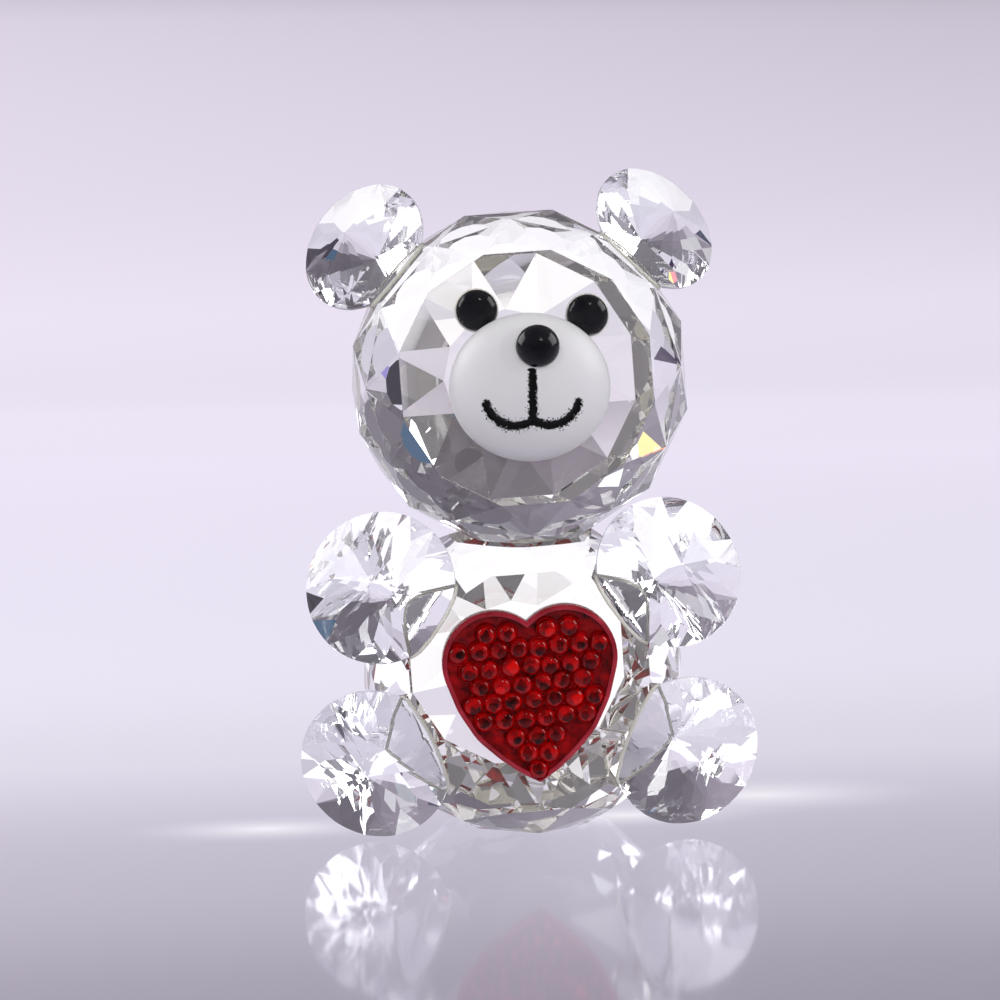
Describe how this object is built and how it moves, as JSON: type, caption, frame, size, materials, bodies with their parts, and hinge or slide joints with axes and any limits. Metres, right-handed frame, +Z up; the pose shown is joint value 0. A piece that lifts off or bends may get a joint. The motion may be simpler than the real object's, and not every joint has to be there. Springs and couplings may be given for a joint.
{
  "type": "crystal glass teddy bear figurine",
  "caption": "Seated teddy bear of faceted clear glass balls and pointed cut discs, with a frosted muzzle, black eyes and nose, and a red stone heart on its chest.",
  "frame": {"origin": "centre of the ground base flat, on the surface that the figurine stands on", "axes": "+Z up through the body and the head, -Y the way the bear looks, +X the bear's own left side"},
  "size_m": [0.0539, 0.0423, 0.0772],
  "materials": {
    "crystal": "polished cut facets",
    "frosted_glass": "frosted",
    "black_glass": "polished",
    "black_enamel": "satin",
    "red_resin": "gloss",
    "red_stones": "polished",
    "clear_adhesive": "clear"
  },
  "bodies": {
    "root": {"body_ball": "crystal", "head_ball": "crystal", "ear_left": "crystal", "ear_right": "crystal", "arm_left": "crystal", "arm_right": "crystal", "foot_left": "crystal", "foot_right": "crystal", "muzzle": "frosted_glass", "nose": "black_glass", "eye_left": "black_glass", "eye_right": "black_glass", "mouth_paint": "black_enamel", "heart_base": "red_resin", "heart_stones": "red_stones", "neck_glue": "clear_adhesive", "ear_left_glue": "clear_adhesive", "ear_right_glue": "clear_adhesive", "arm_left_glue": "clear_adhesive", "arm_right_glue": "clear_adhesive", "foot_left_glue": "clear_adhesive", "foot_right_glue": "clear_adhesive", "muzzle_glue": "clear_adhesive", "nose_glue": "clear_adhesive", "eye_left_glue": "clear_adhesive", "eye_right_glue": "clear_adhesive", "heart_glue": "clear_adhesive"}
  },
  "joints": []
}
